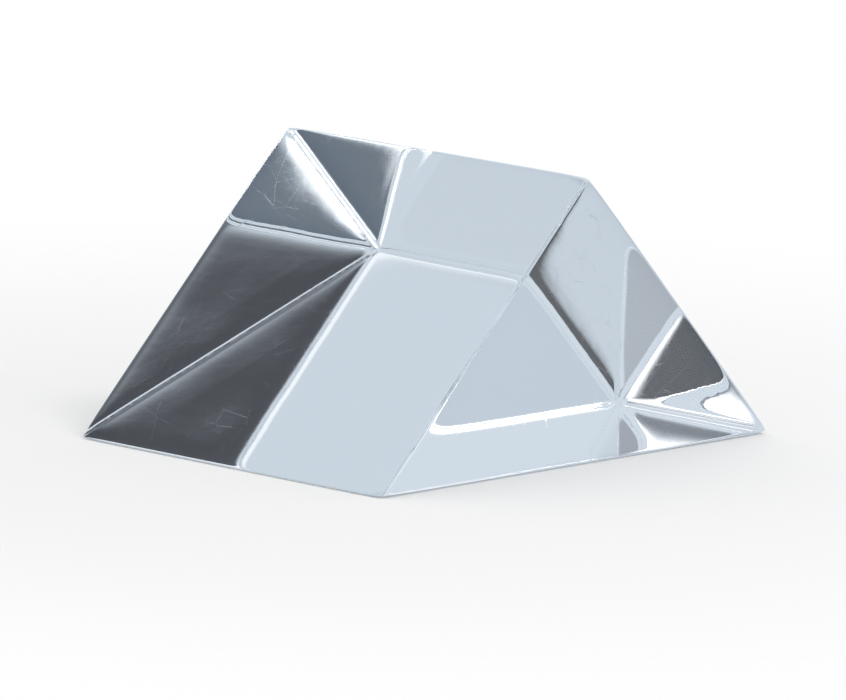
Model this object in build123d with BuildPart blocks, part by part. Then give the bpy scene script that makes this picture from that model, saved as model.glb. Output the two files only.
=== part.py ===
from build123d import *
from math import cos, radians, sin
import os

# Right angle prism: one solid block of clear acrylic, polished on all five faces.
# It lies on its large face, with the right-angled ridge on top and along X.
# The origin is the middle of the large face. Sizes are in millimetres, angles in degrees.

# Driving dimensions
leg = 30.0  # width of each of the two square faces, from the ridge to the base
length = 30.0  # distance between the two triangular ends
ridge_angle = 90.0  # angle between the two square faces
edge_bevel = 0.2  # set back of the polished bevel, on each face beside each edge

# Sizes that follow from them
half_width = leg * sin(radians(ridge_angle / 2))
ridge_height = leg * cos(radians(ridge_angle / 2))

with BuildPart() as prism:
    # Triangular section with the right angle on top, extruded evenly to both ends
    with BuildSketch(Plane.YZ) as section:
        with BuildLine() as outline:
            base = Line((-half_width, 0), (half_width, 0))
            back_leg = Line(base @ 1, (0, ridge_height))
            front_leg = Line(back_leg @ 1, base @ 0)
        make_face()
    extrude(amount=length / 2, both=True)

    # One bevel along each of the nine edges, with a small facet where three bevels meet
    chamfer(prism.edges(), edge_bevel)

prism.part.label = "prism"

os.makedirs("parts", exist_ok=True)
export_step(prism.part, "parts/prism.step")
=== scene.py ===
import math

import bpy
import numpy as np
from mathutils import Matrix, Vector


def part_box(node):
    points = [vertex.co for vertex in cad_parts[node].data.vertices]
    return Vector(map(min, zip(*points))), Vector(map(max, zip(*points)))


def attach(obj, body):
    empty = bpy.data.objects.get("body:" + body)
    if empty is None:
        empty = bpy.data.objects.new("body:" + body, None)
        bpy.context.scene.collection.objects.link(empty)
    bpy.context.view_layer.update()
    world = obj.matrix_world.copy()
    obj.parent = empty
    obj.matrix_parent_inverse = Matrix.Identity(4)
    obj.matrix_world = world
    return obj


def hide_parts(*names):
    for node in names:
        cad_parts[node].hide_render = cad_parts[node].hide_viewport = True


bl_info = {
    "name": "Right angle prism",
    "version": (1, 0, 0),
    "blender": (4, 5, 0),
    "location": "View3D > Sidebar > Prism",
    "description": "Makes a polished right angle prism of clear acrylic and a pale studio to see it in",
    "category": "Add Mesh",
}

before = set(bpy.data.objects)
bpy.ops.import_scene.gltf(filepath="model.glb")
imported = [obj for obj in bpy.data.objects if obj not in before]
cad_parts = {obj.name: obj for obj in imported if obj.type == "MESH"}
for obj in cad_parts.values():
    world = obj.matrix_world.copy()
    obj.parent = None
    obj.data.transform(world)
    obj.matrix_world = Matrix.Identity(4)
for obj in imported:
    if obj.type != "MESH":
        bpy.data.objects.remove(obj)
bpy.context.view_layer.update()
block_low, block_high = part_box("prism")

MM = 0.001

# Size of the photograph, the pixels that the length of the block would take in it if seen square on,
# and the pixel where the point shows that the camera aims at
PHOTO_WIDTH = 846
PHOTO_HEIGHT = 700
PIXELS_PER_LENGTH = 411.4
AIM_PIXEL = (431.6, 293.9)

# Height of that point, as a share of the length of the block
AIM_HEIGHT = 0.35


class PrismBlock(bpy.types.PropertyGroup):
    """Sizes and finish of the block"""

    edge_bevel: bpy.props.FloatProperty(
        name="Edge bevel",
        description="Set back of the bevel on each face beside an edge, if the edge has none of its own",
        default=0.2 * MM,
        min=0.0,
        unit="LENGTH",
        precision=5,
    )
    edge_softness: bpy.props.FloatProperty(
        name="Edge softness",
        description="Length over which polishing has rounded the borders of each bevel",
        default=0.03 * MM,
        min=0.001 * MM,
        unit="LENGTH",
        precision=5,
    )
    roll_off_length: bpy.props.FloatProperty(
        name="Roll-off length",
        description="Length over which a polished face falls away towards its edges",
        default=0.6 * MM,
        min=0.01 * MM,
        unit="LENGTH",
        precision=5,
    )
    roll_off_depth: bpy.props.FloatProperty(
        name="Roll-off depth",
        description="How far a polished face has sunk at an edge that was buffed as usual",
        default=0.045 * MM,
        min=0.0,
        unit="LENGTH",
        precision=5,
    )
    sag_length: bpy.props.FloatProperty(
        name="Sag length",
        description="Length over which a face sinks a trace towards its edges",
        default=2.0 * MM,
        min=0.01 * MM,
        unit="LENGTH",
        precision=5,
    )
    sag_depth: bpy.props.FloatProperty(
        name="Sag depth",
        description="How far that slow sinking goes at an edge that was buffed as usual",
        default=0.03 * MM,
        min=0.0,
        unit="LENGTH",
        precision=5,
    )
    bevel_unevenness: bpy.props.FloatProperty(
        name="Bevel unevenness",
        description="How much the bevels wander in and out along the edges",
        default=0.012 * MM,
        min=0.0,
        unit="LENGTH",
        precision=5,
    )
    chip_count: bpy.props.IntProperty(
        name="Chips",
        description="Number of crumbs missing along the edges",
        default=26,
        min=0,
    )
    chip_size: bpy.props.FloatProperty(
        name="Chip size",
        description="Radius of the largest crumb missing from an edge",
        default=0.35 * MM,
        min=0.0,
        unit="LENGTH",
        precision=5,
    )
    wave_height: bpy.props.FloatProperty(
        name="Polish wave height",
        description="Height of the slow waves left on the faces by polishing",
        default=0.02 * MM,
        min=0.0,
        unit="LENGTH",
        precision=5,
    )
    refractive_index: bpy.props.FloatProperty(
        name="Refractive index",
        description="Refractive index of the acrylic",
        default=1.49,
        min=1.0,
    )
    seed: bpy.props.IntProperty(
        name="Seed",
        description="Number that sets where the chips and the unevenness fall",
        default=7,
        min=0,
    )
    edge_segments: bpy.props.IntProperty(
        name="Edge segments",
        description="Mesh segments along each edge",
        default=120,
        min=8,
    )
    rings: bpy.props.IntProperty(
        name="Rings",
        description="Mesh rings from the edges in over each face",
        default=38,
        min=4,
    )


class PrismStudio(bpy.types.PropertyGroup):
    """Camera, floor and light"""

    camera_azimuth: bpy.props.FloatProperty(
        name="Camera azimuth",
        description="Turn of the camera round the block, from the front towards the right",
        default=math.radians(42.3),
        subtype="ANGLE",
    )
    camera_elevation: bpy.props.FloatProperty(
        name="Camera elevation",
        description="Height of the camera above the horizon",
        default=math.radians(9.9),
        subtype="ANGLE",
    )
    camera_roll: bpy.props.FloatProperty(
        name="Camera roll",
        description="Tilt of the picture about the line of sight",
        default=math.radians(1.82),
        subtype="ANGLE",
    )
    camera_lens: bpy.props.FloatProperty(
        name="Focal length",
        description="Focal length of the camera in millimetres, on a 36 mm wide sensor",
        default=450.0,
        min=1.0,
    )
    backdrop_colour: bpy.props.FloatVectorProperty(
        name="Backdrop colour",
        description="Colour of the pale backdrop that shows through the acrylic",
        default=(0.60, 0.68, 0.76),
        min=0.0,
        max=1.0,
        subtype="COLOR",
    )
    floor_colour: bpy.props.FloatVectorProperty(
        name="Floor colour",
        description="Colour of the paper that the block stands on",
        default=(0.96, 0.96, 0.96),
        min=0.0,
        max=1.0,
        subtype="COLOR",
    )
    floor_radius: bpy.props.FloatProperty(
        name="Floor radius",
        description="Reach of the paper round the block before it has melted into the backdrop",
        default=110.0 * MM,
        unit="LENGTH",
    )
    softbox_power: bpy.props.FloatProperty(
        name="Softbox power",
        description="Power of the soft lamp high on the right",
        default=0.5,
        min=0.0,
        unit="POWER",
    )


# The five faces, in the order in which every list of faces has them
FRONT, BACK, BOTTOM, LEFT, RIGHT = range(5)
SLOPE = math.sqrt(0.5)

# The nine edges by the faces that meet there: set back of the bevel in mm, or 0 for the usual one,
# how strongly the edge was buffed round, and how ragged its bevel is
EDGES = {
    "ridge": (FRONT, BACK, 0.0, 1.0, 0.3),
    "front_foot": (FRONT, BOTTOM, 0.0, 1.0, 0.3),
    "front_left": (FRONT, LEFT, 0.0, 1.0, 0.3),
    "front_right": (FRONT, RIGHT, 0.0, 1.0, 0.2),
    "rear_foot": (BACK, BOTTOM, 0.4, 1.0, 0.5),
    "rear_left": (BACK, LEFT, 0.32, 1.6, 1.0),
    "rear_right": (BACK, RIGHT, 0.0, 1.0, 0.3),
    "left_foot": (BOTTOM, LEFT, 0.25, 0.35, 0.4),
    "right_foot": (BOTTOM, RIGHT, 0.0, 1.0, 0.3),
}

# Waves that make a bevel wander, and their usual length
BEVEL_WAVES = 24
BEVEL_WAVE_LENGTH = 0.9 * MM

# Depth of a chip as a share of its radius, and how steeply it falls away round its centre
CHIP_DEPTH = 0.35
CHIP_STEEPNESS = 2.5


def sharp_ridge_height(block):
    """Height of the ridge before it was bevelled. It is also half the width of the base."""
    return block_high.z + block.edge_bevel * SLOPE


def face_planes(block):
    """Outward normals of the five faces, and their distances from the origin."""
    normals = np.zeros((5, 3))
    normals[FRONT] = (0.0, -SLOPE, SLOPE)
    normals[BACK] = (0.0, SLOPE, SLOPE)
    normals[BOTTOM] = (0.0, 0.0, -1.0)
    normals[LEFT] = (-1.0, 0.0, 0.0)
    normals[RIGHT] = (1.0, 0.0, 0.0)
    distances = np.zeros(5)
    distances[[FRONT, BACK]] = sharp_ridge_height(block) * SLOPE
    distances[[LEFT, RIGHT]] = block_high.x
    return normals, distances


def edge_wear(block, normals, distances):
    """Planes of the bevels along the nine edges, the lines of the edges, and how worn each edge is."""
    planes, offsets, places, ways, buffed, ragged = [], [], [], [], [], []
    for first, second, bevel, roundness, raggedness in EDGES.values():
        pair = normals[[first, second]]
        on_edge = np.linalg.lstsq(pair, distances[[first, second]], rcond=None)[0]
        way = np.cross(*pair)
        middle = pair.sum(axis=0)
        middle /= np.linalg.norm(middle)
        sink = (bevel * MM or block.edge_bevel) * math.sin(math.acos(pair[0] @ pair[1]) / 2)
        planes.append(middle)
        offsets.append(middle @ on_edge - sink)
        places.append(on_edge)
        ways.append(way / np.linalg.norm(way))
        buffed.append(roundness)
        ragged.append(raggedness)
    return tuple(np.array(values) for values in (planes, offsets, places, ways, buffed, ragged))


def face_corners(block):
    """Corners of the five faces of the block before bevelling, each in order round its face."""
    half_length = block_high.x
    height = sharp_ridge_height(block)

    def section(x):
        return [np.array(p) for p in ((x, -height, 0.0), (x, height, 0.0), (x, 0.0, height))]

    front_left, back_left, ridge_left = section(-half_length)
    front_right, back_right, ridge_right = section(half_length)
    return [
        [front_left, front_right, ridge_right, ridge_left],
        [back_right, back_left, ridge_left, ridge_right],
        [front_right, front_left, back_left, back_right],
        [back_left, front_left, ridge_left],
        [front_right, back_right, ridge_right],
    ]


def soft_highest(heights, softness):
    """Soft maximum of the heights in each row."""
    top = heights.max(axis=1)
    return top + softness * np.log(np.exp((heights - top[:, None]) / softness).sum(axis=1))


def unevenness(points, rng, count, pitch):
    """Smooth uneven value between about -1 and 1 at each point, from waves in many directions."""
    total = np.zeros(len(points))
    for _ in range(count):
        way = rng.normal(size=3)
        way /= np.linalg.norm(way)
        length = pitch * rng.uniform(0.6, 1.8)
        total += np.sin(points @ way * (2 * math.pi / length) + rng.uniform(0, 2 * math.pi))
    return total * math.sqrt(2 / count) / 2


def chips(block, rng):
    """Places on the edges where a crumb has come off, as centre, radius and depth."""
    found = []
    faces = face_corners(block)
    for _ in range(block.chip_count):
        corners = faces[rng.integers(len(faces))]
        k = rng.integers(len(corners))
        along = rng.uniform(0.04, 0.96)
        centre = corners[k] * (1 - along) + corners[(k + 1) % len(corners)] * along
        radius = block.chip_size * rng.uniform(0.3, 1.0)
        found.append((centre, radius, radius * CHIP_DEPTH))
    return found


def polished_surface(block):
    """A function that says how far points are outside the polished block."""
    faces, face_distances = face_planes(block)
    bevels, bevel_distances, places, ways, buffed, ragged = edge_wear(block, faces, face_distances)

    def outside(points):
        rng = np.random.default_rng(block.seed)
        uneven = unevenness(points, rng, BEVEL_WAVES, BEVEL_WAVE_LENGTH) * block.bevel_unevenness
        bevel_heights = points @ bevels.T - bevel_distances + uneven[:, None] * ragged
        face_heights = points @ faces.T - face_distances
        for centre, radius, depth in chips(block, rng):
            off = ((points - centre) ** 2).sum(axis=1) / radius**2
            bevel_heights += (depth * np.exp(-off * CHIP_STEEPNESS))[:, None]
        height = soft_highest(np.hstack([face_heights, bevel_heights]), block.edge_softness)
        for place, way, roundness in zip(places, ways, buffed):
            from_edge = np.linalg.norm(np.cross(points - place, way), axis=1)
            height += roundness * block.roll_off_depth * np.exp(-from_edge / block.roll_off_length)
            height += roundness * block.sag_depth * np.exp(-from_edge / block.sag_length)
        return height

    return outside


def edge_steps(segments, crowding=1.7):
    """Steps from 0 to 1 along an edge, closer together towards both ends."""
    steps = np.tanh(np.linspace(-crowding, crowding, segments + 1))
    return 0.5 + 0.5 * steps / steps[-1]


def inset_depths(deepest, rings, crowding=4.0):
    """Distances in from the edges for the rings of the mesh, closest together at the edges."""
    steps = np.linspace(0.0, 1.0, rings + 1)
    return deepest * np.sinh(crowding * steps) / math.sinh(crowding)


def face_rings(corners, depths, steps):
    """Rings of points round one face, each parallel to its edges."""
    corners = np.array(corners)
    count = len(corners)
    ahead = np.roll(corners, -1, axis=0) - corners
    ahead /= np.linalg.norm(ahead, axis=1, keepdims=True)
    rings = []
    for depth in depths:
        inner = []
        for k in range(count):
            before, after = -ahead[k - 1], ahead[k]
            half = math.acos(before @ after) / 2
            bisector = before + after
            bisector /= np.linalg.norm(bisector)
            inner.append(corners[k] + bisector * depth / math.sin(half))
        sides = [(inner[k], inner[(k + 1) % count] - inner[k]) for k in range(count)]
        rings.append(np.array([start + side * t for start, side in sides for t in steps[:-1]]))
    return rings


def sharp_mesh(block):
    """Points and polygons of the block before bevelling, in rings that crowd towards its edges."""
    steps = edge_steps(block.edge_segments)
    deepest = 0.25 * block_high.x
    depths = inset_depths(deepest, block.rings)
    points, polygons, start = [], [], 0
    for corners in face_corners(block):
        rings = face_rings(corners, depths, steps)
        size = len(rings[0])
        for r in range(len(rings) - 1):
            outer = start + r * size
            for i in range(size):
                j = (i + 1) % size
                polygons.append((outer + i, outer + j, outer + size + j, outer + size + i))
        last = start + (len(rings) - 1) * size
        polygons.append(tuple(range(last, last + size)))
        points += rings
        start += size * len(rings)
    return np.vstack(points), polygons


def merged(points, polygons, distance=1e-4 * MM):
    """The same mesh with the points joined that neighbouring faces have at their common edge."""
    keys = np.round(points / distance).astype(np.int64)
    _, first, owner = np.unique(keys, axis=0, return_index=True, return_inverse=True)
    owner = owner.reshape(-1)
    return points[first], [[int(owner[i]) for i in polygon] for polygon in polygons]


def block_mesh(block):
    """Closed mesh of the polished block, fine along its edges, with its true normals."""
    points, polygons = merged(*sharp_mesh(block))

    # Each point goes in towards the middle of the block until it meets the polished surface
    outside = polished_surface(block)
    middle = np.array((0.0, 0.0, 0.42 * block_high.z))
    inwards = middle - points
    inwards /= np.linalg.norm(inwards, axis=1, keepdims=True)
    travel = np.zeros(len(points))
    nudge = 0.001 * MM
    rounds = 12
    for _ in range(rounds):
        here = points + inwards * travel[:, None]
        value = outside(here)
        slope = (outside(here + inwards * nudge) - value) / nudge
        travel -= value / slope
    points = points + inwards * travel[:, None]
    growth = []
    for axis in np.eye(3):
        growth.append(outside(points + axis * nudge) - outside(points - axis * nudge))
    normals = np.stack(growth, axis=1)
    normals /= np.linalg.norm(normals, axis=1, keepdims=True)

    mesh = bpy.data.meshes.new("prism_block")
    mesh.from_pydata(points.tolist(), [], polygons)
    mesh.validate()
    mesh.polygons.foreach_set("use_smooth", [True] * len(mesh.polygons))
    mesh.normals_split_custom_set_from_vertices(normals.tolist())
    mesh.update()
    return mesh


def new_group(name, inputs, outputs):
    """Empty shader node group with its sockets and its two end nodes."""
    group = bpy.data.node_groups.new(name, "ShaderNodeTree")
    for label, kind, default in inputs:
        socket = group.interface.new_socket(label, in_out="INPUT", socket_type=kind)
        if default is not None:
            socket.default_value = default
    for label, kind in outputs:
        group.interface.new_socket(label, in_out="OUTPUT", socket_type=kind)
    return group, group.nodes.new("NodeGroupInput"), group.nodes.new("NodeGroupOutput")


def set_input(tree, socket, value):
    """Give a socket a link or a plain value."""
    if isinstance(value, bpy.types.NodeSocket):
        tree.links.new(value, socket)
    elif value is not None:
        socket.default_value = value


def use_group(tree, group, **values):
    """Place a group in a tree and set its inputs, written with _ for a space."""
    node = tree.nodes.new("ShaderNodeGroup")
    node.node_tree = group
    for label, value in values.items():
        set_input(tree, node.inputs[label.replace("_", " ")], value)
    return node


def maths(tree, operation, first, second=None):
    """Result of a math node."""
    node = tree.nodes.new("ShaderNodeMath")
    node.operation = operation
    for socket, value in zip(node.inputs, (first, second)):
        set_input(tree, socket, value)
    return node.outputs["Value"]


def vector_maths(tree, operation, first, second=None):
    """Result of a vector math node, which is a number for a dot product or a length."""
    node = tree.nodes.new("ShaderNodeVectorMath")
    node.operation = operation
    for socket, value in zip(node.inputs, (first, second)):
        set_input(tree, socket, value)
    return node.outputs["Value" if operation in {"DOT_PRODUCT", "LENGTH"} else "Vector"]


def ramp(tree, value, low, high, low_result=0.0, high_result=1.0):
    """Smooth step of a value from one result to another."""
    node = tree.nodes.new("ShaderNodeMapRange")
    node.interpolation_type = "SMOOTHSTEP"
    for label, number in (
        ("Value", value),
        ("From Min", low),
        ("From Max", high),
        ("To Min", low_result),
        ("To Max", high_result),
    ):
        set_input(tree, node.inputs[label], number)
    return node.outputs["Result"]


def noise(tree, place, scale, detail):
    """Noise texture at a place, with its cells per metre and its detail."""
    node = tree.nodes.new("ShaderNodeTexNoise")
    tree.links.new(place, node.inputs["Vector"])
    set_input(tree, node.inputs["Scale"], scale)
    node.inputs["Detail"].default_value = detail
    return node


def blend(tree, factor, first, second):
    """Mix of two colours."""
    node = tree.nodes.new("ShaderNodeMix")
    node.data_type = "RGBA"
    set_input(tree, node.inputs[0], factor)
    for socket, colour in ((node.inputs[6], first), (node.inputs[7], second)):
        if isinstance(colour, bpy.types.NodeSocket):
            tree.links.new(colour, socket)
        else:
            socket.default_value = (*colour, 1.0)
    return node.outputs[2]


def light_paths(tree):
    """Light Path node, and a mask of the rays that a clear or shiny surface sends on."""
    path = tree.nodes.new("ShaderNodeLightPath")
    return path, maths(tree, "MAXIMUM", path.outputs["Is Glossy Ray"], path.outputs["Is Transmission Ray"])


def polish_group():
    """Height of the slow waves and faint clouds that hand polishing leaves on a face."""
    group, start, end = new_group(
        "polish_waves",
        (
            ("Position", "NodeSocketVector", None),
            ("Wave Length", "NodeSocketFloat", 0.01),
            ("Cloud Length", "NodeSocketFloat", 0.002),
            ("Cloud Share", "NodeSocketFloat", 0.1),
        ),
        (("Height", "NodeSocketFloat"),),
    )
    sockets = start.outputs
    heights = []
    for label, detail in (("Wave Length", 0.0), ("Cloud Length", 2.0)):
        scale = maths(group, "DIVIDE", 1.0, sockets[label])
        heights.append(noise(group, sockets["Position"], scale, detail).outputs["Fac"])
    waves, clouds = heights
    faint = maths(group, "MULTIPLY", clouds, sockets["Cloud Share"])
    group.links.new(maths(group, "ADD", waves, faint), end.inputs["Height"])
    return group


def scratch_group():
    """Mask of long thin scratches that run one way, broken up so that only some of them show."""
    bends_per_metre, bend_reach = 90.0, 1.2 * MM
    gaps_per_metre, gap_border = 220.0, 0.08
    group, start, end = new_group(
        "hairline_scratches",
        (
            ("Position", "NodeSocketVector", None),
            ("Turn", "NodeSocketVector", None),
            ("Spacing", "NodeSocketFloat", 0.001),
            ("Length", "NodeSocketFloat", 0.01),
            ("Width", "NodeSocketFloat", 0.02),
            ("Share", "NodeSocketFloat", 0.5),
        ),
        (("Mask", "NodeSocketFloat"),),
    )
    sockets = start.outputs
    turned = group.nodes.new("ShaderNodeVectorRotate")
    turned.rotation_type = "EULER_XYZ"
    group.links.new(sockets["Position"], turned.inputs["Vector"])
    group.links.new(sockets["Turn"], turned.inputs["Rotation"])
    bend = noise(group, turned.outputs["Vector"], bends_per_metre, 0.0)
    bent = vector_maths(group, "SCALE", bend.outputs["Color"])
    bent.node.inputs["Scale"].default_value = bend_reach
    placed = vector_maths(group, "ADD", turned.outputs["Vector"], bent)
    stretch = group.nodes.new("ShaderNodeCombineXYZ")
    across = maths(group, "DIVIDE", 1.0, sockets["Spacing"])
    along = maths(group, "DIVIDE", 1.0, sockets["Length"])
    for label, value in (("X", along), ("Y", across), ("Z", across)):
        group.links.new(value, stretch.inputs[label])
    grid = vector_maths(group, "MULTIPLY", placed, stretch.outputs["Vector"])
    cells = group.nodes.new("ShaderNodeTexVoronoi")
    cells.feature = "DISTANCE_TO_EDGE"
    group.links.new(grid, cells.inputs["Vector"])
    cells.inputs["Scale"].default_value = 1.0
    line = ramp(group, cells.outputs["Distance"], sockets["Width"], 0.0)
    pick = noise(group, placed, gaps_per_metre, 1.0)
    gate = maths(group, "SUBTRACT", 1.0, sockets["Share"])
    shown = ramp(group, pick.outputs["Fac"], gate, maths(group, "ADD", gate, gap_border))
    group.links.new(maths(group, "MULTIPLY", line, shown), end.inputs["Mask"])
    return group


def acrylic_material(block):
    """Clear acrylic with the faint waves, clouds and hairline scratches of hand polishing."""
    material = bpy.data.materials.new("clear_acrylic")
    material.use_nodes = True
    tree = material.node_tree
    shader = tree.nodes["Principled BSDF"]
    shader.inputs["Base Color"].default_value = (1.0, 1.0, 1.0, 1.0)
    shader.inputs["IOR"].default_value = block.refractive_index
    shader.inputs["Transmission Weight"].default_value = 1.0
    place = tree.nodes.new("ShaderNodeTexCoord").outputs["Object"]
    polish = use_group(
        tree,
        polish_group(),
        Position=place,
        Wave_Length=9.0 * MM,
        Cloud_Length=1.6 * MM,
        Cloud_Share=0.08,
    )
    waves = tree.nodes.new("ShaderNodeBump")
    waves.inputs["Distance"].default_value = block.wave_height
    waves.inputs["Strength"].default_value = 1.0
    tree.links.new(polish.outputs["Height"], waves.inputs["Height"])
    tree.links.new(waves.outputs["Normal"], shader.inputs["Normal"])
    scratches = use_group(
        tree,
        scratch_group(),
        Position=place,
        Turn=(0.3, 0.2, 0.9),
        Spacing=2.2 * MM,
        Length=16.0 * MM,
        Width=0.014,
        Share=0.5,
    )
    scratch_roughness = 0.13
    roughness = ramp(tree, scratches.outputs["Mask"], 0.0, 1.0, 0.0, scratch_roughness)
    tree.links.new(roughness, shader.inputs["Roughness"])
    return material


class PRISM_OT_block(bpy.types.Operator):
    """Make the polished block in place of the plain one"""

    bl_idname = "prism.block"
    bl_label = "Polished block"

    def execute(self, context):
        block = context.scene.prism_block
        mesh = block_mesh(block)
        mesh.materials.append(acrylic_material(block))
        piece = bpy.data.objects.new("prism_block", mesh)
        context.scene.collection.objects.link(piece)
        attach(piece, "root")
        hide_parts("prism")
        return {"FINISHED"}


def direction(turn, rise):
    """Direction seen from the block, turned from the front towards the right, and raised."""
    return Vector((math.sin(turn) * math.cos(rise), -math.cos(turn) * math.cos(rise), math.sin(rise)))


def make_camera(context, studio):
    """Camera at the photograph's angle, panned so that the block stands where it does there."""
    back = direction(studio.camera_azimuth, studio.camera_elevation)
    right = Vector((math.cos(studio.camera_azimuth), math.sin(studio.camera_azimuth), 0.0))
    up = back.cross(right)
    roll = studio.camera_roll
    right, up = (
        math.cos(roll) * right + math.sin(roll) * up,
        math.cos(roll) * up - math.sin(roll) * right,
    )
    length = block_high.x - block_low.x
    data = bpy.data.cameras.new("camera")
    data.lens = studio.camera_lens
    focal_pixels = studio.camera_lens / data.sensor_width * PHOTO_WIDTH
    distance = focal_pixels / PIXELS_PER_LENGTH * length
    pan_right = (AIM_PIXEL[0] - PHOTO_WIDTH / 2) / PIXELS_PER_LENGTH * length
    pan_up = (PHOTO_HEIGHT / 2 - AIM_PIXEL[1]) / PIXELS_PER_LENGTH * length
    camera = bpy.data.objects.new("camera", data)
    context.scene.collection.objects.link(camera)
    aim = Vector((0.0, 0.0, AIM_HEIGHT * length))
    place = aim + distance * back - pan_right * right - pan_up * up
    axes = Matrix((right, up, back)).transposed().to_4x4()
    camera.matrix_world = Matrix.Translation(place) @ axes
    data.clip_start = distance / 100
    data.clip_end = distance * 10
    context.scene.camera = camera


# Turn, rise, half width, half height, tilt and softness of each card in degrees, then its shade.
# A later card stands in front of an earlier one.
STUDIO_CARDS = (
    ("rear_shade", 264.0, -25.0, 18.0, 36.0, 0.0, 5.0, (0.53, 0.605, 0.68)),
    ("upper_glow", 220.0, 24.0, 34.0, 8.5, 0.0, 5.0, (0.92, 0.98, 1.03)),
    ("low_haze", 222.0, -11.0, 11.0, 6.0, 0.0, 3.0, (0.49, 0.57, 0.65)),
    ("dark_slope", 160.0, 28.0, 24.0, 9.0, 30.0, 3.0, (0.12, 0.135, 0.16)),
    ("dark_wall", 156.0, 4.5, 28.0, 9.0, 0.0, 4.0, (0.022, 0.022, 0.027)),
    ("table_edge", 130.0, -10.5, 10.0, 6.0, 0.0, 2.5, (1.15, 1.2, 1.25)),
    ("dark_low", 129.0, -30.0, 14.0, 10.5, -26.0, 4.0, (0.085, 0.115, 0.15)),
    ("small_window", 107.0, 40.0, 5.0, 5.0, 0.0, 1.0, (3.0, 3.1, 3.2)),
    ("under_light", 137.0, -54.0, 8.0, 7.0, 0.0, 3.0, (1.3, 1.35, 1.4)),
    ("rear_light", 205.0, -50.0, 8.0, 8.0, 0.0, 3.0, (1.2, 1.25, 1.3)),
    ("rear_gap", 258.0, -52.7, 8.0, 3.4, 0.0, 1.0, (0.03, 0.03, 0.035)),
    ("high_haze", 257.0, 45.0, 5.0, 6.0, 0.0, 1.0, (0.375, 0.42, 0.47)),
    ("upper_dim", 285.0, 47.0, 10.0, 10.0, 0.0, 3.0, (0.30, 0.33, 0.38)),
    ("side_dark", 318.0, -9.0, 8.0, 8.5, 0.0, 4.0, (0.05, 0.055, 0.065)),
    ("side_glow", 331.5, -10.0, 7.0, 6.0, 0.0, 3.0, (1.3, 1.35, 1.4)),
    ("side_strip", 323.0, 4.0, 7.0, 6.5, 0.0, 2.0, (1.4, 1.4, 1.45)),
    ("side_ledge", 320.0, 14.5, 6.0, 3.5, 0.0, 2.5, (0.16, 0.18, 0.21)),
)

# Shades of the backdrop where the camera looks straight at it, and where it lights the floor
OPEN_BACKDROP = (1.0, 1.0, 1.0)
ROOM_LIGHT = (0.8, 0.8, 0.8)


def card_group():
    """Mask of a flat card with soft borders that stands far off in one direction."""
    group, start, end = new_group(
        "studio_card",
        (
            ("Direction", "NodeSocketVector", None),
            ("Centre", "NodeSocketVector", None),
            ("Across", "NodeSocketVector", None),
            ("Up", "NodeSocketVector", None),
            ("Half Width", "NodeSocketFloat", 0.2),
            ("Half Height", "NodeSocketFloat", 0.2),
            ("Softness", "NodeSocketFloat", 0.05),
        ),
        (("Mask", "NodeSocketFloat"),),
    )
    nearest = 0.001
    card = start.outputs
    ahead = vector_maths(group, "DOT_PRODUCT", card["Direction"], card["Centre"])
    reach = maths(group, "MAXIMUM", ahead, nearest)
    back_out = maths(group, "MULTIPLY", card["Softness"], -1.0)
    mask = maths(group, "GREATER_THAN", ahead, nearest)
    for axis, half in (("Across", "Half Width"), ("Up", "Half Height")):
        sideways = vector_maths(group, "DOT_PRODUCT", card["Direction"], card[axis])
        off = maths(group, "ABSOLUTE", maths(group, "DIVIDE", sideways, reach))
        inside = maths(group, "SUBTRACT", card[half], off)
        mask = maths(group, "MULTIPLY", mask, ramp(group, inside, back_out, card["Softness"]))
    group.links.new(mask, end.inputs["Mask"])
    return group


def studio_world(studio):
    """Pale backdrop with soft cards, which only show in and through the block. The camera sees it white."""
    world = bpy.data.worlds.new("studio")
    world.use_nodes = True
    tree = world.node_tree
    background = tree.nodes["Background"]
    sight = tree.nodes.new("ShaderNodeTexCoord").outputs["Generated"]
    group = card_group()
    shade = tuple(studio.backdrop_colour)
    for name, turn, rise, half_width, half_height, tilt, softness, colour in STUDIO_CARDS:
        centre = direction(math.radians(turn), math.radians(rise))
        across = direction(math.radians(turn + 90.0), 0.0)
        up = centre.cross(across)
        lean = math.radians(tilt)
        card = use_group(
            tree,
            group,
            Direction=sight,
            Centre=centre,
            Across=math.cos(lean) * across + math.sin(lean) * up,
            Up=math.cos(lean) * up - math.sin(lean) * across,
            Half_Width=math.tan(math.radians(half_width)),
            Half_Height=math.tan(math.radians(half_height)),
            Softness=math.tan(math.radians(softness)),
        )
        card.label = name
        shade = blend(tree, card.outputs["Mask"], shade, colour)
    path, through = light_paths(tree)
    seen = blend(tree, through, OPEN_BACKDROP, shade)
    shows = maths(tree, "MAXIMUM", path.outputs["Is Camera Ray"], through)
    tree.links.new(blend(tree, shows, ROOM_LIGHT, seen), background.inputs["Color"])
    background.inputs["Strength"].default_value = 1.0
    return world


def floor_mesh(radius, rings=24, spokes=96):
    """Round floor, as one flat mesh."""
    points, polygons = [(0.0, 0.0, 0.0)], []
    for ring in range(1, rings + 1):
        for spoke in range(spokes):
            angle = 2 * math.pi * spoke / spokes
            reach = radius * ring / rings
            points.append((reach * math.cos(angle), reach * math.sin(angle), 0.0))
    for spoke in range(spokes):
        polygons.append((0, 1 + spoke, 1 + (spoke + 1) % spokes))
    for ring in range(rings - 1):
        for spoke in range(spokes):
            a, b = 1 + ring * spokes + spoke, 1 + ring * spokes + (spoke + 1) % spokes
            polygons.append((a, a + spokes, b + spokes, b))
    mesh = bpy.data.meshes.new("floor")
    mesh.from_pydata(points, [], polygons)
    return mesh


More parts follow.
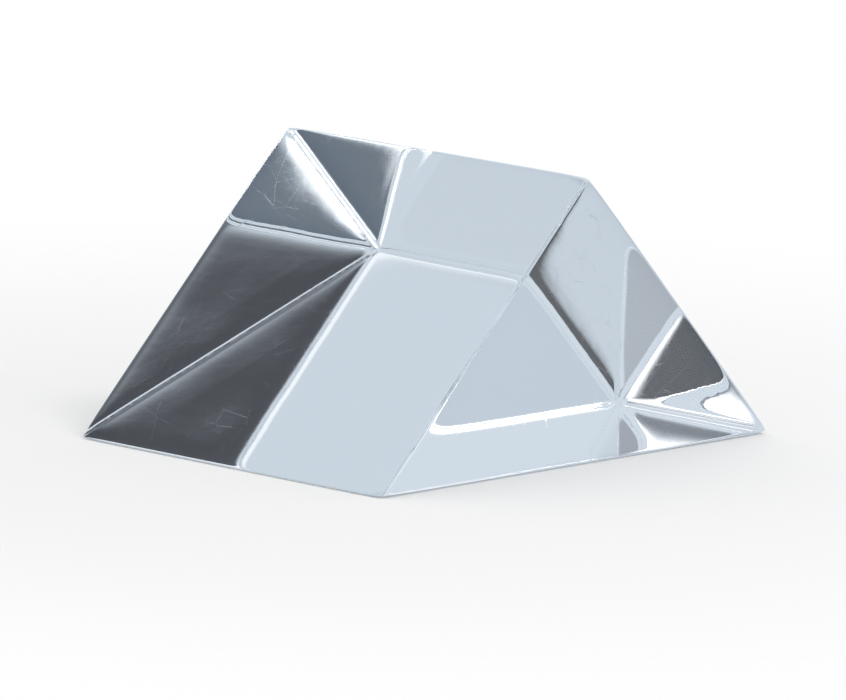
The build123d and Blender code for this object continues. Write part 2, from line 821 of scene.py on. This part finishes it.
def floor_material(studio):
    """White paper that takes the shadow of the block and melts into the white backdrop."""
    material = bpy.data.materials.new("white_paper")
    material.use_nodes = True
    tree = material.node_tree
    paper = tree.nodes["Principled BSDF"]
    paper.inputs["Base Color"].default_value = (*studio.floor_colour, 1.0)
    paper.inputs["Roughness"].default_value = 1.0
    paper.inputs["Specular IOR Level"].default_value = 0.0
    clear = tree.nodes.new("ShaderNodeBsdfTransparent")
    place = tree.nodes.new("ShaderNodeTexCoord").outputs["Object"]
    reach = vector_maths(tree, "LENGTH", place)
    whole_within, gone_beyond = studio.floor_radius * 0.3, studio.floor_radius * 0.95
    melted = ramp(tree, reach, whole_within, gone_beyond)
    _, through = light_paths(tree)
    mix = tree.nodes.new("ShaderNodeMixShader")
    tree.links.new(maths(tree, "MAXIMUM", melted, through), mix.inputs[0])
    tree.links.new(paper.outputs[0], mix.inputs[1])
    tree.links.new(clear.outputs[0], mix.inputs[2])
    tree.links.new(mix.outputs[0], tree.nodes["Material Output"].inputs["Surface"])
    return material


def make_floor(context, studio, gap=0.03 * MM):
    """Floor of white paper a hair below the block."""
    mesh = floor_mesh(studio.floor_radius)
    mesh.materials.append(floor_material(studio))
    floor = bpy.data.objects.new("floor", mesh)
    floor.location.z = block_low.z - gap
    context.scene.collection.objects.link(floor)


def make_softbox(context, turn, rise, half_angle, power, distance=0.5):
    """Square soft lamp that looks at the block."""
    data = bpy.data.lights.new("softbox", "AREA")
    data.shape = "SQUARE"
    data.size = 2 * distance * math.tan(math.radians(half_angle))
    data.energy = power
    lamp = bpy.data.objects.new("softbox", data)
    towards = direction(math.radians(turn), math.radians(rise))
    lamp.location = towards * distance
    lamp.rotation_euler = towards.to_track_quat("Z", "Y").to_euler()
    context.scene.collection.objects.link(lamp)


class PRISM_OT_studio(bpy.types.Operator):
    """Make the floor, the light and the camera"""

    bl_idname = "prism.studio"
    bl_label = "Studio"

    def execute(self, context):
        studio = context.scene.prism_studio
        make_camera(context, studio)
        make_floor(context, studio)
        make_softbox(context, turn=132.0, rise=58.0, half_angle=8.0, power=studio.softbox_power)
        context.scene.world = studio_world(studio)
        context.scene.view_settings.view_transform = "Standard"
        context.scene.cycles.max_bounces = 32
        context.scene.cycles.glossy_bounces = 24
        context.scene.cycles.transmission_bounces = 24
        return {"FINISHED"}


class PRISM_PT_panel(bpy.types.Panel):
    """Lists the sizes and the steps"""

    bl_idname = "PRISM_PT_panel"
    bl_label = "Right angle prism"
    bl_space_type = "VIEW_3D"
    bl_region_type = "UI"
    bl_category = "Prism"

    def draw(self, context):
        for settings, step in (
            (context.scene.prism_block, PRISM_OT_block.bl_idname),
            (context.scene.prism_studio, PRISM_OT_studio.bl_idname),
        ):
            box = self.layout.box()
            for name in settings.__annotations__:
                box.prop(settings, name)
            box.operator(step)


CLASSES = (PrismBlock, PrismStudio, PRISM_OT_block, PRISM_OT_studio, PRISM_PT_panel)


def register():
    for item in CLASSES:
        bpy.utils.register_class(item)
    bpy.types.Scene.prism_block = bpy.props.PointerProperty(type=PrismBlock)
    bpy.types.Scene.prism_studio = bpy.props.PointerProperty(type=PrismStudio)


def unregister():
    del bpy.types.Scene.prism_studio
    del bpy.types.Scene.prism_block
    for item in reversed(CLASSES):
        bpy.utils.unregister_class(item)


def main():
    register()
    bpy.ops.prism.block()
    bpy.ops.prism.studio()


if __name__ == "__main__":
    main()
